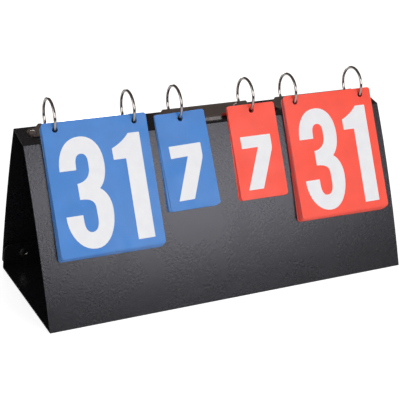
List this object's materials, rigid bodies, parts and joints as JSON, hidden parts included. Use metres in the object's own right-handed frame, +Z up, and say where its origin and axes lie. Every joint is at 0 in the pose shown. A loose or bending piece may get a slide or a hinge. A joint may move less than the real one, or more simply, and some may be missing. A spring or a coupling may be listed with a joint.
{
  "type": "tabletop flip scoreboard",
  "caption": "Free-standing flip scoreboard: a folded plastic board that carries opening ring mechanisms and numbered cards turned over the rings to show score and sets.",
  "frame": {"origin": "middle of the underside of the bottom panel, half way between the two bottom creases", "axes": "+X along the board to the right of a player facing the cards, +Y from the card side to the back, +Z up"},
  "size_m": [0.395, 0.1639, 0.205],
  "materials": {
    "board_plastic": "black polypropylene sheet with a fine embossed grain and a soft sheen",
    "cover_steel": "nickel plated pressed steel",
    "rivet_steel": "nickel plated steel rivet",
    "blade_steel": "plain rolled steel strip",
    "ring_chrome": "bright nickel plated steel wire",
    "snap_metal": "nickel plated snap fastener",
    "blue_card": "smooth blue plastic card with pale printed numbers",
    "red_card": "smooth orange-red plastic card with pale printed numbers"
  },
  "bodies": {
    "board": {"front_panel": "board_plastic", "spine_panel": "board_plastic", "ring_cover_left": "cover_steel", "ring_cover_centre": "cover_steel", "ring_cover_right": "cover_steel", "cover_rivets_left": "rivet_steel", "cover_rivets_centre": "rivet_steel", "cover_rivets_right": "rivet_steel"},
    "back": {"back_panel": "board_plastic", "snap_sockets": "snap_metal", "snap_caps": "snap_metal"},
    "base": {"bottom_panel": "board_plastic"},
    "flap": {"closure_flap": "board_plastic", "snap_studs": "snap_metal", "snap_posts": "snap_metal"},
    "front_arm_left": {"front_blade_left": "blade_steel", "front_half_rings_left": "ring_chrome"},
    "rear_arm_left": {"rear_blade_left": "blade_steel", "rear_half_rings_left": "ring_chrome"},
    "front_arm_centre": {"front_blade_centre": "blade_steel", "front_half_rings_centre": "ring_chrome"},
    "rear_arm_centre": {"rear_blade_centre": "blade_steel", "rear_half_rings_centre": "ring_chrome"},
    "front_arm_right": {"front_blade_right": "blade_steel", "front_half_rings_right": "ring_chrome"},
    "rear_arm_right": {"rear_blade_right": "blade_steel", "rear_half_rings_right": "ring_chrome"},
    "blue_score_pack": {"blue_score_card_pack": "blue_card"},
    "blue_score_front": {"blue_score_front_card": "blue_card"},
    "blue_set_pack": {"blue_set_card_pack": "blue_card"},
    "blue_set_front": {"blue_set_front_card": "blue_card"},
    "red_set_pack": {"red_set_card_pack": "red_card"},
    "red_set_front": {"red_set_front_card": "red_card"},
    "red_score_pack": {"red_score_card_pack": "red_card"},
    "red_score_front": {"red_score_front_card": "red_card"}
  },
  "joints": [
    {"name": "back_fold", "type": "hinge", "parent": "board", "child": "back", "pos_m": [0, 0.01569, 0.17286], "axis": [1, 0, 0], "range_deg": [0, 115]},
    {"name": "bottom_fold", "type": "hinge", "parent": "board", "child": "base", "pos_m": [0, -0.08, 0], "axis": [1, 0, 0], "range_deg": [-235, 0]},
    {"name": "flap_fold", "type": "hinge", "parent": "base", "child": "flap", "pos_m": [0, 0.08, 0.0012], "axis": [1, 0, 0], "range_deg": [0, 55]},
    {"name": "rings_open_left", "type": "hinge", "parent": "board", "child": "front_arm_left", "pos_m": [-0.1267, -0.00657, 0.1698], "axis": [-1, 0, 0], "range_deg": [-7, 0]},
    {"name": "rear_arm_left_turn", "type": "hinge", "parent": "board", "child": "rear_arm_left", "pos_m": [-0.1267, 0.01364, 0.17472], "axis": [-1, 0, 0], "range_deg": [0, 7]},
    {"name": "rings_open_centre", "type": "hinge", "parent": "board", "child": "front_arm_centre", "pos_m": [0.0034, -0.00657, 0.1698], "axis": [-1, 0, 0], "range_deg": [-7, 0]},
    {"name": "rear_arm_centre_turn", "type": "hinge", "parent": "board", "child": "rear_arm_centre", "pos_m": [0.0034, 0.01364, 0.17472], "axis": [-1, 0, 0], "range_deg": [0, 7]},
    {"name": "rings_open_right", "type": "hinge", "parent": "board", "child": "front_arm_right", "pos_m": [0.1335, -0.00657, 0.1698], "axis": [-1, 0, 0], "range_deg": [-7, 0]},
    {"name": "rear_arm_right_turn", "type": "hinge", "parent": "board", "child": "rear_arm_right", "pos_m": [0.1335, 0.01364, 0.17472], "axis": [-1, 0, 0], "range_deg": [0, 7]},
    {"name": "blue_score_pack_flip", "type": "hinge", "parent": "board", "child": "blue_score_pack", "pos_m": [-0.1267, 0.00015, 0.18615], "axis": [-1, 0, 0], "range_deg": [0, 180]},
    {"name": "blue_score_card_flip", "type": "hinge", "parent": "blue_score_pack", "child": "blue_score_front", "pos_m": [-0.1267, 0.00015, 0.18615], "axis": [1, 0, 0], "range_deg": [-215, 0]},
    {"name": "blue_set_pack_flip", "type": "hinge", "parent": "board", "child": "blue_set_pack", "pos_m": [-0.0366, 0.00015, 0.18615], "axis": [-1, 0, 0], "range_deg": [0, 180]},
    {"name": "blue_set_card_flip", "type": "hinge", "parent": "blue_set_pack", "child": "blue_set_front", "pos_m": [-0.0366, 0.00015, 0.18615], "axis": [1, 0, 0], "range_deg": [-215, 0]},
    {"name": "red_set_pack_flip", "type": "hinge", "parent": "board", "child": "red_set_pack", "pos_m": [0.0434, 0.00015, 0.18615], "axis": [-1, 0, 0], "range_deg": [0, 180]},
    {"name": "red_set_card_flip", "type": "hinge", "parent": "red_set_pack", "child": "red_set_front", "pos_m": [0.0434, 0.00015, 0.18615], "axis": [1, 0, 0], "range_deg": [-215, 0]},
    {"name": "red_score_pack_flip", "type": "hinge", "parent": "board", "child": "red_score_pack", "pos_m": [0.1335, 0.00015, 0.18615], "axis": [-1, 0, 0], "range_deg": [0, 180]},
    {"name": "red_score_card_flip", "type": "hinge", "parent": "red_score_pack", "child": "red_score_front", "pos_m": [0.1335, 0.00015, 0.18615], "axis": [1, 0, 0], "range_deg": [-215, 0]}
  ],
  "couplings": [
    {"joint": "rear_arm_left_turn", "follows": "rings_open_left", "ratio": -1},
    {"joint": "rear_arm_centre_turn", "follows": "rings_open_centre", "ratio": -1},
    {"joint": "rear_arm_right_turn", "follows": "rings_open_right", "ratio": -1}
  ]
}
